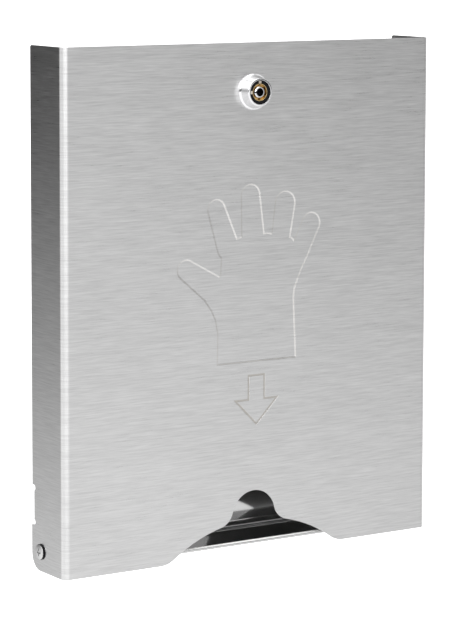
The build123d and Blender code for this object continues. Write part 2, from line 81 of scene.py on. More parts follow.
class Graph:
    """A short way to add and join the nodes of one tree."""

    def __init__(self, tree: bpy.types.NodeTree) -> None:
        """Keep the tree that nodes are added to."""
        self.tree = tree

    def add(self, kind: str, values: dict | None = None, **settings: object) -> bpy.types.Node:
        """Add one node.

        Args:
            kind: the node's type, without its ShaderNode prefix.
            values: a value or an output socket for each input, by name or number.
            settings: the node's own properties.

        Returns:
            The new node.
        """
        name = kind if kind.startswith("Node") else "ShaderNode" + kind
        node = self.tree.nodes.new(name)
        for key, value in settings.items():
            setattr(node, key, value)
        for key, value in (values or {}).items():
            if isinstance(value, Socket):
                self.join(value, node.inputs[key])
            else:
                node.inputs[key].default_value = value
        return node

    def join(self, source: Socket, target: Socket) -> None:
        """Link an output to an input."""
        self.tree.links.new(source, target)

    def math(self, operation: str, first: object, second: object = 0.0) -> Socket:
        """Return the result of one sum on two values."""
        return self.add("Math", {0: first, 1: second}, operation=operation).outputs[0]

    def linear(self, value: Socket, factor: float, offset: object) -> Socket:
        """Return a value times a factor, plus an offset."""
        return self.add("Math", {0: value, 1: factor, 2: offset}, operation="MULTIPLY_ADD").outputs[0]

    def size(self, value: Socket) -> Socket:
        """Return a value without its sign."""
        return self.math("ABSOLUTE", value)

    def under(self, value: Socket, limit: float) -> Socket:
        """Return the mask of where a value lies under a limit."""
        return self.math("LESS_THAN", value, limit)

    def over(self, value: Socket, limit: float) -> Socket:
        """Return the mask of where a value lies over a limit."""
        return self.math("GREATER_THAN", value, limit)

    def both(self, *masks: Socket) -> Socket:
        """Return the mask of where all the given masks hold."""
        return reduce(lambda first, second: self.math("MULTIPLY", first, second), masks)

    def either(self, first: Socket, second: Socket) -> Socket:
        """Return the mask of where one of two masks holds."""
        return self.math("MAXIMUM", first, second)

    def times(self, vector: object, factors: object) -> Socket:
        """Return a vector or colour with each of its parts times a factor of its own."""
        return self.add("VectorMath", {0: vector, 1: factors}, operation="MULTIPLY").outputs[0]

    def scaled(self, vector: object, factor: Socket) -> Socket:
        """Return a vector or colour times one factor."""
        return self.add("VectorMath", {0: vector, "Scale": factor}, operation="SCALE").outputs[0]

    def parts(self, vector: Socket) -> bpy.types.NodeOutputs:
        """Return the three parts of a vector, by name."""
        return self.add("SeparateXYZ", {0: vector}).outputs

    def place(self) -> bpy.types.NodeOutputs:
        """Return the three parts of a point's place on the piece."""
        return self.parts(self.add("TexCoord").outputs["Object"])

    def blend(self, share: Socket, first: object, second: object) -> Socket:
        """Return a mix of two vectors or colours."""
        inputs = dict(zip(MIX_VECTORS, (first, second)))
        return self.add("Mix", {0: share} | inputs, data_type="VECTOR").outputs[1]

    def blend_number(self, share: Socket, first: object, second: object) -> Socket:
        """Return a mix of two numbers."""
        inputs = dict(zip(MIX_NUMBERS, (first, second)))
        return self.add("Mix", {0: share} | inputs, data_type="FLOAT").outputs[0]

    def glow(self, strength: Socket) -> Socket:
        """Return white light of a given strength."""
        return self.add("Emission", {"Color": (1, 1, 1, 1), "Strength": strength}).outputs[0]

    def turned(self, way: Place) -> Socket:
        """Return a direction of the piece as it points after the piece has moved."""
        return self.add(
            "VectorTransform", {0: way}, vector_type="VECTOR", convert_from="OBJECT", convert_to="WORLD"
        ).outputs[0]

    def ramp(self, value: Socket, stops: Stops) -> Socket:
        """Return a grey ramp of a value.

        Args:
            value: the socket that is looked up.
            stops: positions from 0 to 1, with the brightness at each.

        Returns:
            The ramp's colour socket.
        """
        node = self.add("ValToRGB", {"Fac": value})
        node.color_ramp.interpolation = "EASE"
        elements = node.color_ramp.elements
        while len(elements) < len(stops):
            elements.new(0.5)
        for element, (position, level) in zip(elements, stops):
            element.position = position
            element.color = (level, level, level, 1)
        return node.outputs["Color"]


def new_group(
    name: str, inputs: dict[str, float | str], outputs: dict[str, str]
) -> tuple[Graph, bpy.types.NodeOutputs, bpy.types.NodeInputs]:
    """Start a shader group.

    Args:
        name: the group's name.
        inputs: each input's name, with a number's default value or another socket's type.
        outputs: each output's name and socket type.

    Returns:
        The group's graph, what is given to it and what it puts out.
    """
    tree = bpy.data.node_groups.new(name, "ShaderNodeTree")
    for key, value in inputs.items():
        kind = value if isinstance(value, str) else NUMBER
        socket = tree.interface.new_socket(key, in_out="INPUT", socket_type=kind)
        if kind == NUMBER:
            socket.default_value = value
    for key, kind in outputs.items():
        tree.interface.new_socket(key, in_out="OUTPUT", socket_type=kind)
    graph = Graph(tree)
    return graph, graph.add("NodeGroupInput").outputs, graph.add("NodeGroupOutput").inputs


@dataclass
class SharedEffects:
    """The node groups that several finishes use, each built once.

    Args:
        fine_share: how much the fine lines count; the wide strokes make up the rest.
        wide: how the wide strokes' cells compare with the fine lines', in X, Y and Z.
        slow: the same for the slow change of tone.
        brushing: group of the brush lines.
        edges: group of the rounded edges.
        handling: group of the marks of handling.
    """

    fine_share: float = 0.4
    wide: Place = (0.6, 0.6, 0.5)
    slow: Place = (0.12, 0.12, 0.02)
    brushing: bpy.types.NodeTree = field(init=False)
    edges: bpy.types.NodeTree = field(init=False)
    handling: bpy.types.NodeTree = field(init=False)

    def __post_init__(self) -> None:
        """Build every group."""
        self.brushing = self._brushing()
        self.edges = self._edges()
        self.handling = self._handling()

    def _brushing(self) -> bpy.types.NodeTree:
        """Brush lines: noise that is long along the grain and very short across it.

        Two noises are mixed, one for the fine lines and one for the wider strokes. Along is the number
        of cells in a metre on the grain, Across the number over it.

        Returns:
            A group that puts out Tone, for the lines, and Stroke, for the slow change.
        """
        inputs = {"Along": 40.0, "Across": 2600.0}
        graph, given, out = new_group("Brushing", inputs, {"Tone": NUMBER, "Stroke": NUMBER})
        place = graph.add("TexCoord").outputs["Object"]
        cells = graph.add("CombineXYZ", {0: given["Along"], 1: given["Along"], 2: given["Across"]})
        fine_at = graph.times(place, cells.outputs[0])
        wide_at, slow_at = graph.times(fine_at, self.wide), graph.times(fine_at, self.slow)
        fine = graph.add("TexNoise", {"Vector": fine_at, "Scale": 1.0, "Detail": 3.0, "Roughness": 0.6})
        wide = graph.add("TexNoise", {"Vector": wide_at, "Scale": 1.0, "Detail": 2.0})
        slow = graph.add("TexNoise", {"Vector": slow_at, "Scale": 1.0, "Detail": 2.0})
        wide_share = graph.math("MULTIPLY", wide.outputs["Fac"], 1 - self.fine_share)
        graph.join(graph.linear(fine.outputs["Fac"], self.fine_share, wide_share), out["Tone"])
        graph.join(slow.outputs["Fac"], out["Stroke"])
        return graph.tree

    def _edges(self) -> bpy.types.NodeTree:
        """Rounded edges: the normal is taken over a small radius, and Edge says where it turned.

        Returns:
            A group that puts out Normal and Edge.
        """
        outputs = {"Normal": VECTOR, "Edge": NUMBER}
        graph, given, out = new_group("RoundedEdges", {"Radius": 0.3 * MM}, outputs)
        rounded = graph.add("Bevel", {"Radius": given["Radius"]}, samples=6).outputs["Normal"]
        true = graph.add("NewGeometry").outputs["Normal"]
        agree = graph.add("VectorMath", {0: rounded, 1: true}, operation="DOT_PRODUCT").outputs["Value"]
        graph.join(rounded, out["Normal"])
        graph.join(graph.math("SUBTRACT", 1.0, agree), out["Edge"])
        return graph.tree

    def _handling(self) -> bpy.types.NodeTree:
        """Faint marks of handling: broad soft patches, for roughness and tone.

        Returns:
            A group that puts out Patch.
        """
        graph, given, out = new_group("Handling", {"Size": 18.0}, {"Patch": NUMBER})
        place = graph.add("TexCoord").outputs["Object"]
        noise = graph.add("TexNoise", {"Vector": place, "Scale": given["Size"], "Detail": 4.0})
        graph.join(graph.ramp(noise.outputs["Fac"], [(0.35, 0.0), (0.65, 1.0)]), out["Patch"])
        return graph.tree


@dataclass(frozen=True)
class MetalFinish:
    """A bare or plated metal.

    Args:
        name: the material's name.
        colour: linear base colour.
        roughness: mean roughness.
        grain: how the fine lines run.
        along: noise cells in a metre along the grain.
        across: noise cells in a metre across level lines.
        tone_swing: how far the colour moves with the lines.
        slow_swing: how far it moves with the slow change of tone, as a share of that.
        rough_swing: how far the roughness moves with the lines.
        patch_swing: how far it moves with the marks of handling, as a share of that.
        bump: height of the lines, in metres.
        edge: radius of the softened edges, in metres.
        edge_highlight: painted highlight, how much brighter the colour is on the rounded edges.
        stretch: how far the gloss is drawn out across level lines.
    """

    name: str
    colour: Colour
    roughness: float
    grain: Grain = Grain.LEVEL
    along: float = 40.0
    across: float = 2600.0
    tone_swing: float = 0.1
    slow_swing: float = 0.25
    rough_swing: float = 0.1
    patch_swing: float = 0.2
    bump: float = 0.004 * MM
    edge: float = 0.25 * MM
    edge_highlight: float = 0.15
    stretch: float = 0.0

    def make(self, effects: SharedEffects) -> bpy.types.Material:
        """Build the material.

        Args:
            effects: the shared node groups.

        Returns:
            The finished material.
        """
        material = bpy.data.materials.new(self.name)
        material.use_nodes = True
        graph = Graph(material.node_tree)
        shader = material.node_tree.nodes["Principled BSDF"].inputs
        across = self.across if self.grain is Grain.LEVEL else self.along
        grain = {"Along": self.along, "Across": across}
        lines = graph.add("Group", grain, node_tree=effects.brushing).outputs
        edges = graph.add("Group", {"Radius": self.edge}, node_tree=effects.edges).outputs
        patch = graph.add("Group", node_tree=effects.handling).outputs["Patch"]
        centred = graph.math("SUBTRACT", lines["Tone"], 0.5)
        slow = graph.math("SUBTRACT", lines["Stroke"], 0.5)
        level = graph.linear(centred, 2 * self.tone_swing, 1.0)
        level = graph.linear(slow, self.slow_swing * self.tone_swing, level)
        # painted highlight: brighter colour where the rounded edges turn
        level = graph.linear(edges["Edge"], self.edge_highlight, level)
        rough = graph.linear(centred, 2 * self.rough_swing, self.roughness)
        rough = graph.linear(patch, self.patch_swing * self.rough_swing, rough)
        rough, metallic = self.surface(graph, rough)
        relief = {
            "Strength": 1.0,
            "Distance": self.bump,
            "Height": lines["Tone"],
            "Normal": self.ease(graph, edges["Normal"]),
        }
        graph.join(self.tint_and_painted_light(graph, graph.scaled(self.colour, level)), shader["Base Color"])
        graph.join(rough, shader["Roughness"])
        graph.join(graph.add("Bump", relief).outputs["Normal"], shader["Normal"])
        if metallic is None:
            shader["Metallic"].default_value = 1.0
        else:
            graph.join(metallic, shader["Metallic"])
        if self.stretch:
            graph.join(graph.turned((0, 0, 1)), shader["Tangent"])
            shader["Anisotropic"].default_value = self.stretch
        return material

    def tint_and_painted_light(self, graph: Graph, colour: Socket) -> Socket:
        """Return the colour as it is; a finish with marks or painted light of its own changes it here."""
        return colour

    def ease(self, graph: Graph, normal: Socket) -> Socket:
        """Return the normal as it is; a finish with pressed lines softens it here."""
        return normal

    def surface(self, graph: Graph, rough: Socket) -> tuple[Socket, Socket | None]:
        """Return the roughness as it is and no metallic value; a finish with dull places changes both."""
        return rough, None


@dataclass(frozen=True)
class PressedSheet(MetalFinish):
    """Brushed sheet with a sign pressed into its front: the pressed lines are warmer and softer.

    Args:
        front: how far the sheet's front stands from the wall, in metres.
        half_width: from the middle to a side's outer face, in metres.
        bend: outside radius of the upright bends, in metres.
        sheet: the sheet's thickness, in metres.
        depth: how deep the sign is pressed, in metres.
        sign_reach: how far the sign reaches from the middle, in metres.
        arrow_top: height between the glove and the arrow, in metres.
        outline: what the glove's outline does to the colour.
        groove: what the arrow's groove does to the colour.
        sheared: colour of the sheet's cut edges.
        softness: how far a pressed wall looks turned back, where it faces left or down, and right or up.
        dull_roughness: roughness of the cut edges and of the inner face.
        cut_loss: how much less metallic a cut edge is.
        inside_loss: how much less metallic the inner face is.
    """

    front: float = 41.6 * MM
    half_width: float = 135.0 * MM
    bend: float = 4.0 * MM
    sheet: float = 1.0 * MM
    depth: float = 0.3 * MM
    sign_reach: float = 100.0 * MM
    arrow_top: float = -43.0 * MM
    outline: Colour = (1.02, 1.0, 0.965)
    groove: Colour = (0.8, 0.77, 0.725)
    sheared: Colour = (0.85, 0.85, 0.85)
    softness: tuple[float, float] = (0.3, 0.85)
    dull_roughness: float = 0.5
    cut_loss: float = 0.8
    inside_loss: float = 0.65

    def _facing(self, graph: Graph) -> bpy.types.NodeOutputs:
        """Return the three parts of the true normal, as the piece stood at rest."""
        true = graph.add("NewGeometry").outputs["True Normal"]
        return graph.parts(graph.add(
            "VectorTransform", {0: true}, vector_type="NORMAL", convert_from="WORLD", convert_to="OBJECT"
        ).outputs[0])

    def _pressed(self, graph: Graph) -> Socket:
        """Return the mask of the sign's lines, which lie between the front and the sunk face."""
        place = graph.place()
        share = graph.math("DIVIDE", graph.math("ADD", place["Y"], self.front), self.depth)
        lines = graph.ramp(share, [(0.05, 0.0), (0.3, 1.0), (0.75, 1.0), (0.93, 0.0)])
        near = [graph.under(graph.size(place[name]), self.sign_reach) for name in ("X", "Z")]
        return graph.both(lines, *near)

    def _cut(self, graph: Graph) -> Socket:
        """Return the mask of the sheared edges: faces that stand across the panel or across a side."""
        place, facing = graph.place(), self._facing(graph)
        aside = graph.size(place["X"])
        panel = graph.both(
            graph.under(aside, self.half_width - self.bend),
            graph.under(place["Y"], 2 * self.sheet - self.front),
            graph.under(graph.size(facing["Y"]), 0.5),
        )
        side = graph.both(
            graph.over(aside, self.half_width - 1.5 * self.sheet),
            graph.over(place["Y"], self.bend - self.front),
            graph.under(graph.size(facing["X"]), 0.5),
        )
        return graph.either(panel, side)

    def _inside(self, graph: Graph) -> Socket:
        """Return the mask of the panel's dull inner face."""
        place = graph.place()
        behind = graph.over(place["Y"], 0.5 * self.sheet - self.front)
        return graph.both(behind, graph.under(graph.size(place["X"]), self.half_width - self.bend))

    def tint_and_painted_light(self, graph: Graph, colour: Socket) -> Socket:
        """Return the colour: dark and warm in the arrow's groove, a little warm on the glove's outline."""
        below = graph.under(graph.place()["Z"], self.arrow_top)
        warm = graph.times(colour, graph.blend(below, self.outline, self.groove))
        return graph.blend(self._cut(graph), graph.blend(self._pressed(graph), colour, warm), self.sheared)

    def ease(self, graph: Graph, normal: Socket) -> Socket:
        """Return the normal, turned back on the sign's walls, most on those that face right or up."""
        facing = self._facing(graph)
        lean = graph.linear(facing["Z"], 0.8, facing["X"])
        low, high = self.softness
        share = graph.ramp(graph.math("ADD", lean, 0.5), [(0.35, low), (0.6, high)])
        mixed = graph.blend(graph.both(self._pressed(graph), share), normal, graph.turned((0, -1, 0)))
        return graph.add("VectorMath", {0: mixed}, operation="NORMALIZE").outputs[0]

    def surface(self, graph: Graph, rough: Socket) -> tuple[Socket, Socket]:
        """Return the roughness and the metallic value: sheared edges and the inner face are duller."""
        cut, inside = self._cut(graph), self._inside(graph)
        rough = graph.blend_number(graph.either(cut, inside), rough, self.dull_roughness)
        loss = graph.linear(cut, self.cut_loss, graph.math("MULTIPLY", inside, self.inside_loss))
        metallic = graph.add("Math", {0: 1.0, 1: loss}, operation="SUBTRACT", use_clamp=True)
        return rough, metallic.outputs[0]


@dataclass(frozen=True)
class LipHighlightPlate(MetalFinish):
    """Smooth sheet with a painted highlight along the upper bend of its lip: a pale, duller strip there.

    Args:
        lip: the bend lies in front of this place, in metres.
        lip_foot: the bend lies above this height, in metres.
        lip_highlight_colour: colour of the painted highlight on the bend.
        lip_highlight_roughness: its roughness.
        loss: how much less metallic it is.
    """

    lip: float = -37.4 * MM
    lip_foot: float = -153.2 * MM
    # painted highlight on the lip's bend: a near-white colour
    lip_highlight_colour: Colour = (0.95, 0.95, 0.94)
    lip_highlight_roughness: float = 0.4
    loss: float = 0.85

    def _lip_highlight(self, graph: Graph) -> Socket:
        """Return the mask of the lip's upper bend, where the highlight is painted."""
        place = graph.place()
        low = graph.under(place["Z"], 0.0)
        return graph.both(graph.under(place["Y"], self.lip), low, graph.over(place["Z"], self.lip_foot))

    def tint_and_painted_light(self, graph: Graph, colour: Socket) -> Socket:
        """Return the colour, pale where the highlight is painted on the bend."""
        # painted highlight: the bend is coloured pale
        return graph.blend(self._lip_highlight(graph), colour, self.lip_highlight_colour)

    def surface(self, graph: Graph, rough: Socket) -> tuple[Socket, Socket]:
        """Return the roughness and the metallic value, duller where the highlight is painted on the bend.
        """
        lip_highlight_mask = self._lip_highlight(graph)
        return graph.blend_number(lip_highlight_mask, rough, self.lip_highlight_roughness), graph.linear(lip_highlight_mask, -self.loss, 1.0)


@dataclass(frozen=True)
class RecessedPost(MetalFinish):
    """Chrome with painted shade: almost black inside the post's recess and in a notch of its rim that has
    no shape of its own.

    Args:
        axis: height of the lock's axis, in metres.
        recess: radius of the painted shade in the recess with its bevel, in metres.
        notch: half the width of the notch painted dark in the left of the rim, in metres.
        shade: what is left of the colour under the painted shade.
    """

    axis: float = 129.5 * MM
    recess: float = 2.6 * MM
    notch: float = 0.45 * MM
    shade: Colour = (0.03, 0.03, 0.035)

    def tint_and_painted_light(self, graph: Graph, colour: Socket) -> Socket:
        """Return the colour with painted shade, almost black near the axis and in the notch, which turns
        with the post.
        """
        place = graph.place()
        rise = graph.math("SUBTRACT", place["Z"], self.axis)
        squares = graph.math("ADD", graph.math("POWER", place["X"], 2.0), graph.math("POWER", rise, 2.0))
        inside = graph.under(graph.math("SQRT", squares), self.recess)
        notch = graph.both(graph.under(graph.size(rise), self.notch), graph.under(place["X"], 0.0))
        # painted shade: the colour is almost black in the recess and in the notch
        return graph.blend(graph.either(inside, notch), colour, graph.times(colour, self.shade))


@dataclass(frozen=True)
class CoatedFinish:
    """A glossy or moulded surface that isn't metal.

    Args:
        name: the material's name.
        colour: linear base colour.
        roughness: mean roughness.
        shine: how much the surface mirrors, 0.5 for plain plastic.
        grit: noise cells in a metre for the fine unevenness.
        grit_swing: how far the roughness moves with it.
        bump: height of the unevenness, in metres.
        patches: cells in a metre of the marks of handling.
        patch_swing: how far the colour moves with them.
        edge: radius of the softened edges, in metres.
    """

    name: str
    colour: Colour
    roughness: float
    shine: float = 0.5
    grit: float = 3000.0
    grit_swing: float = 0.12
    bump: float = 0.01 * MM
    patches: float = 260.0
    patch_swing: float = 0.2
    edge: float = 0.2 * MM

    def make(self, effects: SharedEffects) -> bpy.types.Material:
        """Build the material.

        Args:
            effects: the shared node groups.

        Returns:
            The finished material.
        """
        material = bpy.data.materials.new(self.name)
        material.use_nodes = True
        graph = Graph(material.node_tree)
        shader = material.node_tree.nodes["Principled BSDF"].inputs
        place = graph.add("TexCoord").outputs["Object"]
        grit = graph.add("TexNoise", {"Vector": place, "Scale": self.grit, "Detail": 2.0}).outputs["Fac"]
        patch = graph.add("Group", {"Size": self.patches}, node_tree=effects.handling).outputs["Patch"]
        edges = graph.add("Group", {"Radius": self.edge}, node_tree=effects.edges).outputs
        level = graph.linear(patch, self.patch_swing, 1 - self.patch_swing / 2)
        rough = graph.linear(grit, self.grit_swing, self.roughness - self.grit_swing / 2)
        relief = {"Strength": 1.0, "Distance": self.bump, "Height": grit, "Normal": edges["Normal"]}
        graph.join(graph.scaled(self.colour, level), shader["Base Color"])
        graph.join(rough, shader["Roughness"])
        graph.join(graph.add("Bump", relief).outputs["Normal"], shader["Normal"])
        shader["Specular IOR Level"].default_value = self.shine
        return material


@dataclass(frozen=True)
class FinishList:
    """Every finish of the dispenser."""

    cover: PressedSheet = PressedSheet(
        "Brushed cover sheet", (0.7, 0.7, 0.7), 0.3, along=100.0, tone_swing=0.36, stretch=0.7
    )
    plate: LipHighlightPlate = LipHighlightPlate(
        "Back plate sheet", (0.6, 0.6, 0.6), 0.08, tone_swing=0.04, rough_swing=0.02, bump=0.0005 * MM
    )
    chrome: MetalFinish = MetalFinish(
        "Lock chrome", (0.86, 0.86, 0.87), 0.09, Grain.EVEN, along=300.0, tone_swing=0.02, rough_swing=0.02,
        bump=0.001 * MM,
    )
    post: RecessedPost = RecessedPost(
        "Lock post chrome", (0.8, 0.8, 0.82), 0.16, Grain.EVEN, along=300.0, tone_swing=0.02,
        rough_swing=0.02, bump=0.001 * MM,
    )
    brass: MetalFinish = MetalFinish(
        "Lock brass", (0.62, 0.47, 0.25), 0.16, Grain.EVEN, along=900.0, tone_swing=0.06, rough_swing=0.04,
        bump=0.002 * MM,
    )
    zinc: MetalFinish = MetalFinish(
        "Zinc plating", (0.6, 0.62, 0.65), 0.3, Grain.EVEN, along=500.0, tone_swing=0.06, rough_swing=0.08
    )
    fastener: MetalFinish = MetalFinish(
        "Bright fastener", (0.66, 0.66, 0.66), 0.3, Grain.EVEN, along=500.0, tone_swing=0.04,
        rough_swing=0.05,
    )
    black: CoatedFinish = CoatedFinish("Black lock ring", (0.006, 0.006, 0.007), 0.5, shine=0.12)
    nylon: CoatedFinish = CoatedFinish("Natural nylon", (0.78, 0.76, 0.7), 0.45)
    enamel: CoatedFinish = CoatedFinish("Key mark enamel", (0.42, 0.38, 0.33), 0.4, shine=0.3)


class Dresser:
    """Puts each node of the frame in its finish."""

    SLOTS: dict[str, str] = {
        "brushed_sheet": "cover",
        "plate_sheet": "plate",
        "lock_chrome": "chrome",
        "lock_brass": "brass",
        "zinc_plated": "zinc",
        "bright_fastener": "fastener",
        "lock_black": "black",
        "nylon": "nylon",
    }

    def __init__(self, finishes: FinishList, effects: SharedEffects) -> None:
        """Build the materials of every slot."""
        self.materials = {slot: getattr(finishes, name).make(effects) for slot, name in self.SLOTS.items()}
        self.special = {"lock_post": finishes.post.make(effects)}
        self.enamel = finishes.enamel.make(effects)

    def dress_nodes(self) -> None:
        """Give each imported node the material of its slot."""
        for part in frame["record"]["subparts"]:
            name, slot = part["node"], part["material_slot"]
            materials = frame["nodes"][name].data.materials
            materials.clear()
            materials.append(self.special.get(name, self.materials[slot]))
            LOG.info("dressed %s as %s", name, slot)


def turn_profile(profile: np.ndarray, turns: int) -> tuple[np.ndarray, np.ndarray, np.ndarray]:
    """Carry a profile round an axis, so that each of its points becomes a ring.

    Args:
        profile: rows of distance from the axis and place along it.
        turns: points round the axis.

    Returns:
        The angles, and the distance and the place as profile by angle.
    """
    angle = np.linspace(0, 2 * math.pi, turns, endpoint=False)
    return angle, profile[:, :1] + 0 * angle, profile[:, 1:] + 0 * angle


def thread_wave(along: np.ndarray, angle: np.ndarray, pitch: float) -> np.ndarray:
    """Return the depth of a thread from 0 to 1: a cosine over the pitch, one pitch later for each turn."""
    return 0.5 + 0.5 * np.cos(2 * math.pi * along / pitch - angle)


def grid_piece(
    name: str, points: np.ndarray, body: str, material: bpy.types.Material, ring: bool = True
) -> bpy.types.Object:
    """Make a piece from a grid of points whose columns close round.

    Args:
        name: the piece's name.
        points: rows by columns by three, in metres.
        body: the body that it rides on.
        material: its finish.
        ring: whether the last row also meets the first; otherwise both are poles.

    Returns:
        The new object.
    """
    rows, columns = points.shape[:2]
    number = np.arange(rows * columns).reshape(rows, columns)
    below, beside = np.roll(number, -1, axis=0), np.roll(number, -1, axis=1)
    across = np.roll(below, -1, axis=1)
    faces = np.stack([number, beside, across, below], axis=-1)
    faces = (faces if ring else faces[:-1]).reshape(-1, 4)
    mesh = bpy.data.meshes.new(name)
    mesh.from_pydata(points.reshape(-1, 3).tolist(), [], faces.tolist())
    shell = bmesh.new()
    shell.from_mesh(mesh)
    bmesh.ops.remove_doubles(shell, verts=shell.verts, dist=MERGE)
    bmesh.ops.recalc_face_normals(shell, faces=shell.faces)
    shell.to_mesh(mesh)
    shell.free()
    mesh.polygons.foreach_set("use_smooth", np.ones(len(mesh.polygons), dtype=bool))
    mesh.set_sharp_from_angle(angle=SMOOTH_BELOW)
    mesh.materials.append(material)
    piece = bpy.data.objects.new(name, mesh)
    bpy.context.scene.collection.objects.link(piece)
    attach(piece, body)
    LOG.info("built %s with %d faces", name, len(mesh.polygons))
    return piece


@dataclass
class LockFront:
    """What is turned or set into the lock's front: the threaded housing and the key marks of its ring.

    Args:
        body: the body that carries the lock.
        turns: points round the housing.
        pitch: rise of the barrel's thread.
        thread: depth of the thread.
        flats: distance across the barrel's two flats.
        barrel: radius of the barrel.
        face: radius of the front face.
        face_round: rounding of the front face's edge.
        flank: how much less than the bezel's the radius is at the end of its slope.
        slope: depth of the slope.
        bezel_depth: depth of the whole bezel.
        ring_bore: radius of the bore that takes the black ring.
        ring_depth: depth of that bore.
        plug_bore: radius of the bore that takes the plug.
        mark: length, width and thickness of a key mark.
        mark_from: distance of a mark's inner end from the axis.
        mark_proud: how far a mark stands out of the ring.
        front: where the housing's front lies.
        back: where its back lies.
        bezel: radius of the bezel.
        axis: the axis's X and Z.
    """

    body: str
    turns: int = 144
    pitch: float = 1.0 * MM
    thread: float = 0.32 * MM
    flats: float = 16.0 * MM
    barrel: float = 9.5 * MM
    face: float = 8.8 * MM
    face_round: float = 0.5 * MM
    flank: float = 1.1 * MM
    slope: float = 6.0 * MM
    bezel_depth: float = 7.6 * MM
    ring_bore: float = 7.55 * MM
    ring_depth: float = 5.3 * MM
    plug_bore: float = 6.7 * MM
    mark: tuple[float, float, float] = (1.5 * MM, 2.0 * MM, 0.5 * MM)
    mark_from: float = 5.55 * MM
    mark_proud: float = 0.06 * MM
    front: float = field(init=False)
    back: float = field(init=False)
    bezel: float = field(init=False)
    axis: np.ndarray = field(init=False)

    def build(self, chrome: bpy.types.Material, enamel: bpy.types.Material) -> None:
        """Make the housing and both marks.

        Args:
            chrome: the housing's finish.
            enamel: the marks' finish.
        """
        low, high = (np.array(corner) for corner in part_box("lock_housing"))
        self.front, self.back = low[1], high[1]
        self.bezel = (high[0] - low[0]) / 2
        self.axis = (low + high)[[0, 2]] / 2
        housing = grid_piece("lock_housing_turned", self._housing(), self.body, chrome)
        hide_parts("lock_housing")
        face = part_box("lock_face_ring")[0][1]
        for hour, angle in ((9, math.pi), (12, math.pi / 2)):
            grid_piece(f"key_mark_{hour}", self._mark(face, angle), self.body, enamel, ring=False)

    def _outline(self) -> tuple[np.ndarray, slice]:
        """Draw half the housing's section, from the face over the bezel and the barrel into the bores.

        Returns:
            Rows of radius and depth, and which of them lie on the barrel.
        """
        rim, seat = self.front + self.slope, self.front + self.bezel_depth
        ring_back = self.front + self.ring_depth
        bend = np.linspace(0, math.pi / 2, 5)
        curve = np.column_stack([
            self.face - self.face_round * (1 - np.sin(bend)),
            self.front + self.face_round * (1 - np.cos(bend)),
        ])
        rise = np.linspace(0, 1, 7)[1:, None]
        start = np.array([self.face, self.front + self.face_round])
        stop = np.array([self.bezel - self.flank, rim - 0.2 * MM])
        slope = start * (1 - rise) + stop * rise
        edge = np.array([self.bezel - 0.25 * MM, rim + 0.25 * MM])
        foot = np.array([[self.bezel, rim + 0.6 * MM], [self.bezel, seat]])
        long = np.linspace(seat, self.back, 200)
        barrel = np.column_stack([np.full(long.size, self.barrel), long])
        bore = np.array([
            [self.plug_bore, self.back], [self.plug_bore, ring_back],
            [self.ring_bore, ring_back], [self.ring_bore, self.front],
        ])
        first = len(curve) + len(slope) + 1 + len(foot)
        return np.vstack([curve, slope, edge, foot, barrel, bore]), slice(first, first + len(barrel))

    def _housing(self) -> np.ndarray:
        """Turn the housing.

        The section goes round the axis. On the barrel the radius is the barrel's, less the thread's wave.
        Across the flats it is the smaller of that and half the flats over the cosine of the angle.

        Returns:
            Section by angle by three.
        """
        section, shank = self._outline()
        angle, radius, depth = turn_profile(section, self.turns)
        radius[shank] -= self.thread * thread_wave(depth[shank], angle, self.pitch)
        radius[shank] = np.minimum(radius[shank], self.flats / 2 / np.maximum(np.abs(np.cos(angle)), 0.01))
        x = self.axis[0] + radius * np.cos(angle)
        z = self.axis[1] + radius * np.sin(angle)
        return np.stack([x, depth, z], axis=-1)

    def _mark(self, face: float, angle: float) -> np.ndarray:
        """Shape one key mark as a flat pad with round corners.

        Its outline is a superellipse, whose cosine and sine are taken to the power of a third. Rings of it
        shrink to the middle of the front and of the back, with the front ring's edge rounded.

        Args:
            face: where the ring's face lies.
            angle: the mark's angle round the axis.

        Returns:
            Ring by angle by three.
        """
        length, width, thick = self.mark
        around = np.linspace(0, 2 * math.pi, 32, endpoint=False)
        ahead = np.sign(np.cos(around)) * np.abs(np.cos(around)) ** (1 / 3) * length / 2
        aside = np.sign(np.sin(around)) * np.abs(np.sin(around)) ** (1 / 3) * width / 2
        share = np.array([0.0, 0.85, 0.96, 1.0, 1.0, 0.0])[:, None]
        proud = self.mark_proud
        sunk = np.array([-proud, -proud, -0.6 * proud, 0.2 * proud, thick, thick])[:, None]
        out = self.mark_from + length / 2 + share * ahead
        over = share * aside
        x = self.axis[0] + out * math.cos(angle) - over * math.sin(angle)
        z = self.axis[1] + out * math.sin(angle) + over * math.cos(angle)
        return np.stack([x, face + sunk + 0 * around, z], axis=-1)


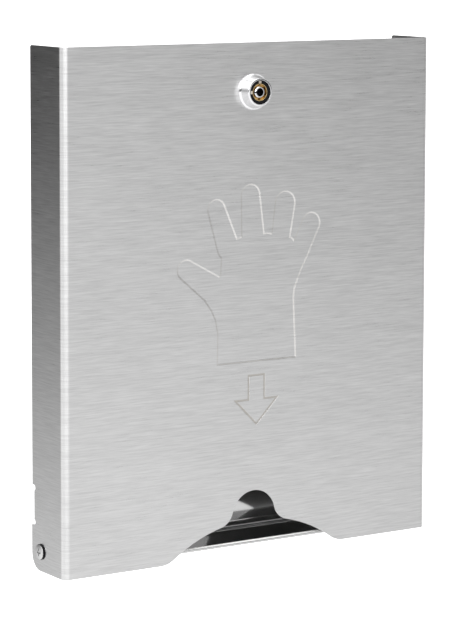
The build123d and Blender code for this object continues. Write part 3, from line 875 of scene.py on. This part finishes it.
@dataclass
class PivotScrew:
    """A shoulder screw with a low domed head, a cross recess and a cut thread, on a black ring.

    Args:
        side: left or right.
        body: the body that carries it.
        turns: points round it.
        head: radius of the head.
        head_edge: height of the head's upright edge.
        dome: how far the dome rises over that edge.
        black_ring: radius and height of the black ring between the head and the cover.
        bevel: bevel of the black ring and of the head's underside.
        play: gap between black ring and cover, and between shoulder and washer.
        shoulder: radius of the shoulder.
        thread: outer radius of the thread.
        pitch: rise of the thread.
        cut: depth of the thread.
        arm: half length and half width of the cross recess's arms.
        recess: depth of the recess.
        axis: the axis's Y and Z.
    """

    side: str
    body: str
    turns: int = 96
    head: float = 4.6 * MM
    head_edge: float = 0.4 * MM
    dome: float = 0.4 * MM
    black_ring: tuple[float, float] = (4.8 * MM, 0.8 * MM)
    bevel: float = 0.1 * MM
    play: float = 0.1 * MM
    shoulder: float = 3.0 * MM
    thread: float = 2.45 * MM
    pitch: float = 0.8 * MM
    cut: float = 0.25 * MM
    arm: tuple[float, float] = (2.4 * MM, 0.5 * MM)
    recess: float = 1.0 * MM
    axis: np.ndarray = field(init=False)

    def build(self, metal: bpy.types.Material, black: bpy.types.Material) -> None:
        """Make the screw in place of its node, and its black ring.

        Args:
            metal: the screw's finish.
            black: the black ring's finish.
        """
        node = f"pivot_screw_{self.side}"
        low, high = (np.array(corner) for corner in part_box(node))
        self.axis = ((low + high) / 2)[1:]
        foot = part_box("front_cover")[1][0] + self.play
        washer = np.abs(np.array(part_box(f"pivot_washer_{self.side}"))[:, 0]).min()
        end = np.abs([low[0], high[0]]).min()
        grid_piece(f"pivot_collar_{self.side}", self._black_ring(foot), self.body, black)
        points = self._screw(foot + self.black_ring[1], washer - self.play, end)
        screw = grid_piece(f"{node}_turned", points, self.body, metal, ring=False)
        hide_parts(node)

    def _stand(self, angle: np.ndarray, radius: np.ndarray, along: np.ndarray) -> np.ndarray:
        """Return turned points in their place: the axis lies along X, and the head points outwards."""
        outward = -1 if self.side == "left" else 1
        y = self.axis[0] + radius * np.cos(angle)
        z = self.axis[1] + radius * np.sin(angle)
        return np.stack([outward * along, y, z], axis=-1)

    def _black_ring(self, foot: float) -> np.ndarray:
        """Turn the black ring: a square section with a bevelled rim goes round the screw's axis.

        Args:
            foot: distance from the middle of the object to the black ring's inner face.

        Returns:
            Section by angle by three.
        """
        rim, height = self.black_ring
        top = foot + height
        section = np.array([
            [self.shoulder, foot], [rim, foot], [rim, top - self.bevel], [rim - self.bevel, top],
            [self.shoulder, top],
        ])
        return self._stand(*turn_profile(section, self.turns))

    def _screw(self, foot: float, shoulder_end: float, end: float) -> np.ndarray:
        """Turn the screw round its axis.

        The dome falls with the square of the radius. Inside either arm of a cross its height drops by the
        recess's depth. The thread's radius is less by the thread's wave.

        Args:
            foot: distance from the middle of the object to the head's underside.
            shoulder_end: distance to the end of the shoulder.
            end: distance to the thread's end.

        Returns:
            Section by angle by three.
        """
        spread = np.linspace(0, 1, 40)
        crown = np.column_stack([spread * self.head, foot + self.head_edge + self.dome * (1 - spread**2)])
        under = np.array([
            [self.head, foot + self.bevel], [self.head - self.bevel, foot], [self.shoulder, foot],
            [self.shoulder, shoulder_end],
        ])
        long = np.linspace(shoulder_end, end, 110)
        shank = np.column_stack([np.full(long.size, self.thread), long])
        section = np.vstack([crown, under, shank, [[0, end]]])
        angle, radius, along = turn_profile(section, self.turns)
        over, up = np.abs(radius * np.cos(angle)), np.abs(radius * np.sin(angle))
        length, width = self.arm
        in_arm = ((over < length) & (up < width)) | ((up < length) & (over < width))
        in_arm[len(crown):] = False
        along = along - self.recess * in_arm
        cut = slice(len(crown) + len(under), -1)
        radius[cut] -= self.cut * thread_wave(along[cut], angle, self.pitch)
        return self._stand(angle, radius, along)


@dataclass(frozen=True)
class Softbox:
    """A square lamp that faces the object.

    Args:
        name: the lamp's name.
        place: where it stands.
        size: its side, in metres.
        power: in watts.
    """

    name: str
    place: Place
    size: float
    power: float

    def build(self) -> None:
        """Make the lamp."""
        data = bpy.data.lights.new(self.name, "AREA")
        data.shape = "SQUARE"
        data.size = self.size
        data.energy = self.power
        lamp = bpy.data.objects.new(self.name, data)
        lamp.location = self.place
        lamp.rotation_euler = (-Vector(self.place)).to_track_quat("-Z", "Y").to_euler()
        bpy.context.scene.collection.objects.link(lamp)


@dataclass
class Studio:
    """A white studio: a pale floor and a room that is bright on the left and in front, darker elsewhere.

    Directions round the object are azimuths in degrees, 0 straight in front and negative to the left.

    Args:
        floor_height: height of the floor, in metres.
        floor_half: half the floor's width, in metres.
        floor_grey: how pale the floor itself is.
        floor_glow: how bright the floor looks without the lamps, close to the object and far off.
        near: brightness of the floor close to the object, by azimuth.
        far: brightness of the room and of the floor further off, by azimuth.
        near_reach: distance from the object where the floor starts to change.
        far_reach: distance from the object where it has changed.
        peak: what a level of 1 in the two lists stands for.
        horizon: from which height of a direction to which the room brightens.
        horizon_level: how bright it is below and above, as a share of its level.
        lamps: the softboxes.
        room: group that says how bright the studio is in a direction.
    """

    floor_height: float = -0.42
    floor_half: float = 40.0
    floor_grey: float = 0.85
    floor_glow: tuple[float, float] = (0.8, 1.0)
    near: tuple[tuple[float, float], ...] = (
        (-180, 0.5), (-150, 0.62), (-128, 0.92), (-20, 0.87), (30, 0.785), (60, 0.68)
    )
    far: tuple[tuple[float, float], ...] = (
        (-142, 0.02), (-120, 0.96), (0, 0.88), (20, 0.82), (30, 0.66), (40, 0.38), (56, 0.44), (80, 0.62),
        (130, 0.5),
    )
    near_reach: float = 0.7
    far_reach: float = 4.2
    peak: float = 1.38
    horizon: tuple[float, float] = (0.05, 0.45)
    horizon_level: tuple[float, float] = (0.15, 1.1)
    lamps: tuple[Softbox, ...] = (
        Softbox("Key softbox", (-1.9, -2.2, 1.6), 1.6, 28.0),
        Softbox("Front softbox", (-0.5, -3.0, 0.9), 1.4, 10.0),
        Softbox("Top softbox", (0.2, -0.4, 2.4), 1.6, 14.0),
    )
    room: bpy.types.NodeTree = field(init=False)

    def build(self) -> None:
        """Make the room, the world, the floor and the lamps."""
        self.room = self._room()
        self._world()
        self._floor()
        for lamp in self.lamps:
            lamp.build()

    def _room(self) -> bpy.types.NodeTree:
        """How bright the studio is in a direction.

        The azimuth is the angle of the level part of the direction from straight in front. Each list is
        looked up with it, after it is brought to 0 to 1.

        Returns:
            A group that takes Direction and puts out Near and Far.
        """
        graph, given, out = new_group("StudioRoom", {"Direction": VECTOR}, {"Near": NUMBER, "Far": NUMBER})
        parts = graph.parts(given["Direction"])
        azimuth = graph.math("ARCTAN2", parts["X"], graph.math("MULTIPLY", parts["Y"], -1.0))
        turn = graph.linear(azimuth, 1 / (2 * math.pi), 0.5)
        for name, levels in (("Near", self.near), ("Far", self.far)):
            stops = [(angle / 360 + 0.5, level) for angle, level in levels]
            graph.join(graph.math("MULTIPLY", graph.ramp(turn, stops), self.peak), out[name])
        return graph.tree

    def _world(self) -> None:
        """White to the camera; to everything else the room, dim at the horizon and brighter higher up."""
        world = bpy.data.worlds.new("Studio")
        world.use_nodes = True
        bpy.context.scene.world = world
        graph = Graph(world.node_tree)
        background = world.node_tree.nodes["Background"].inputs
        background["Color"].default_value = (1, 1, 1, 1)
        way = graph.add("TexCoord").outputs["Generated"]
        far = graph.add("Group", {"Direction": way}, node_tree=self.room).outputs["Far"]
        limits = dict(zip((1, 2, 3, 4), self.horizon + self.horizon_level))
        height = {"Value": graph.parts(way)["Z"]}
        fade = graph.add("MapRange", height | limits, interpolation_type="SMOOTHSTEP").outputs[0]
        seen = graph.add("LightPath").outputs["Is Camera Ray"]
        graph.join(graph.blend_number(seen, graph.math("MULTIPLY", far, fade), 1.0), background["Strength"])

    def _floor(self) -> None:
        """Make a pale floor that keeps the shadow and shows metal the same room as the world does."""
        material = bpy.data.materials.new("Pale floor")
        material.use_nodes = True
        nodes = material.node_tree.nodes
        nodes.remove(nodes["Principled BSDF"])
        graph = Graph(material.node_tree)
        place = graph.add("TexCoord").outputs["Object"]
        room = graph.add("Group", {"Direction": place}, node_tree=self.room).outputs
        distance = graph.add("VectorMath", {0: graph.times(place, (1, 1, 0))}, operation="LENGTH")
        reach = {"Value": distance.outputs["Value"], 1: self.near_reach, 2: self.far_reach}
        away = graph.add("MapRange", reach, interpolation_type="SMOOTHSTEP").outputs[0]
        ray = graph.add("LightPath").outputs
        matte = graph.add("BsdfDiffuse", {"Color": (self.floor_grey,) * 3 + (1,)}).outputs[0]
        plain = graph.glow(graph.blend_number(away, *self.floor_glow))
        pool = graph.glow(graph.blend_number(away, room["Near"], room["Far"]))
        seen = graph.add("AddShader", {0: plain, 1: matte}).outputs[0]
        mirrored = graph.either(ray["Is Glossy Ray"], ray["Is Transmission Ray"])
        other = graph.add("MixShader", {0: mirrored, 1: matte, 2: pool}).outputs[0]
        whole = graph.add("MixShader", {0: ray["Is Camera Ray"], 1: other, 2: seen}).outputs[0]
        graph.join(whole, nodes["Material Output"].inputs["Surface"])
        half = self.floor_half
        corners = [(-half, -half), (half, -half), (half, half), (-half, half)]
        mesh = bpy.data.meshes.new("Floor")
        mesh.from_pydata([(x, y, self.floor_height) for x, y in corners], [], [(0, 1, 2, 3)])
        mesh.materials.append(material)
        floor = bpy.data.objects.new("Floor", mesh)
        bpy.context.scene.collection.objects.link(floor)


@dataclass
class PhotoCamera:
    """The camera that took the photograph.

    Args:
        place: where it stands.
        yaw: degrees that it is turned from looking along +Y, positive to the right.
        pitch: degrees that it looks down.
        roll: degrees that it is tilted.
        lens: focal length in millimetres.
        sensor: width of the sensor in millimetres.
        shift: how far the lens is shifted, in heights of the picture.
    """

    place: Place = (-0.91007, -1.41981, 0.23546)
    yaw: float = 32.937
    pitch: float = 5.665
    roll: float = 0.113
    lens: float = 156.32
    sensor: float = 36.0
    shift: float = -0.2006

    def build(self) -> None:
        """Make the camera and give it to the scene."""
        yaw, pitch, roll = (math.radians(angle) for angle in (self.yaw, self.pitch, self.roll))
        right = Vector((math.cos(yaw), -math.sin(yaw), 0))
        ahead = Vector((math.sin(yaw) * math.cos(pitch), math.cos(yaw) * math.cos(pitch), -math.sin(pitch)))
        up = right.cross(ahead)
        across = right * math.cos(roll) + up * math.sin(roll)
        upward = up * math.cos(roll) - right * math.sin(roll)
        data = bpy.data.cameras.new("Photo camera")
        data.lens = self.lens
        data.sensor_width = self.sensor
        data.shift_y = self.shift
        camera = bpy.data.objects.new("Photo camera", data)
        turned = Matrix((across, upward, -ahead)).transposed().to_4x4()
        camera.matrix_world = Matrix.Translation(self.place) @ turned
        bpy.context.scene.collection.objects.link(camera)
        bpy.context.scene.camera = camera


def main() -> None:
    """Build the looks in order: finishes, pieces, studio and camera."""
    logging.basicConfig(level=logging.INFO, format="%(name)s: %(message)s")
    bpy.context.scene.view_settings.view_transform = "Standard"
    dresser = Dresser(FinishList(), SharedEffects())
    dresser.dress_nodes()
    metals = dresser.materials
    LockFront(LOCK_BODY).build(metals["lock_chrome"], dresser.enamel)
    for side in ("left", "right"):
        PivotScrew(side, SCREW_BODY).build(metals["bright_fastener"], metals["lock_black"])
    Studio().build()
    PhotoCamera().build()


if __name__ == "__main__":
    main()
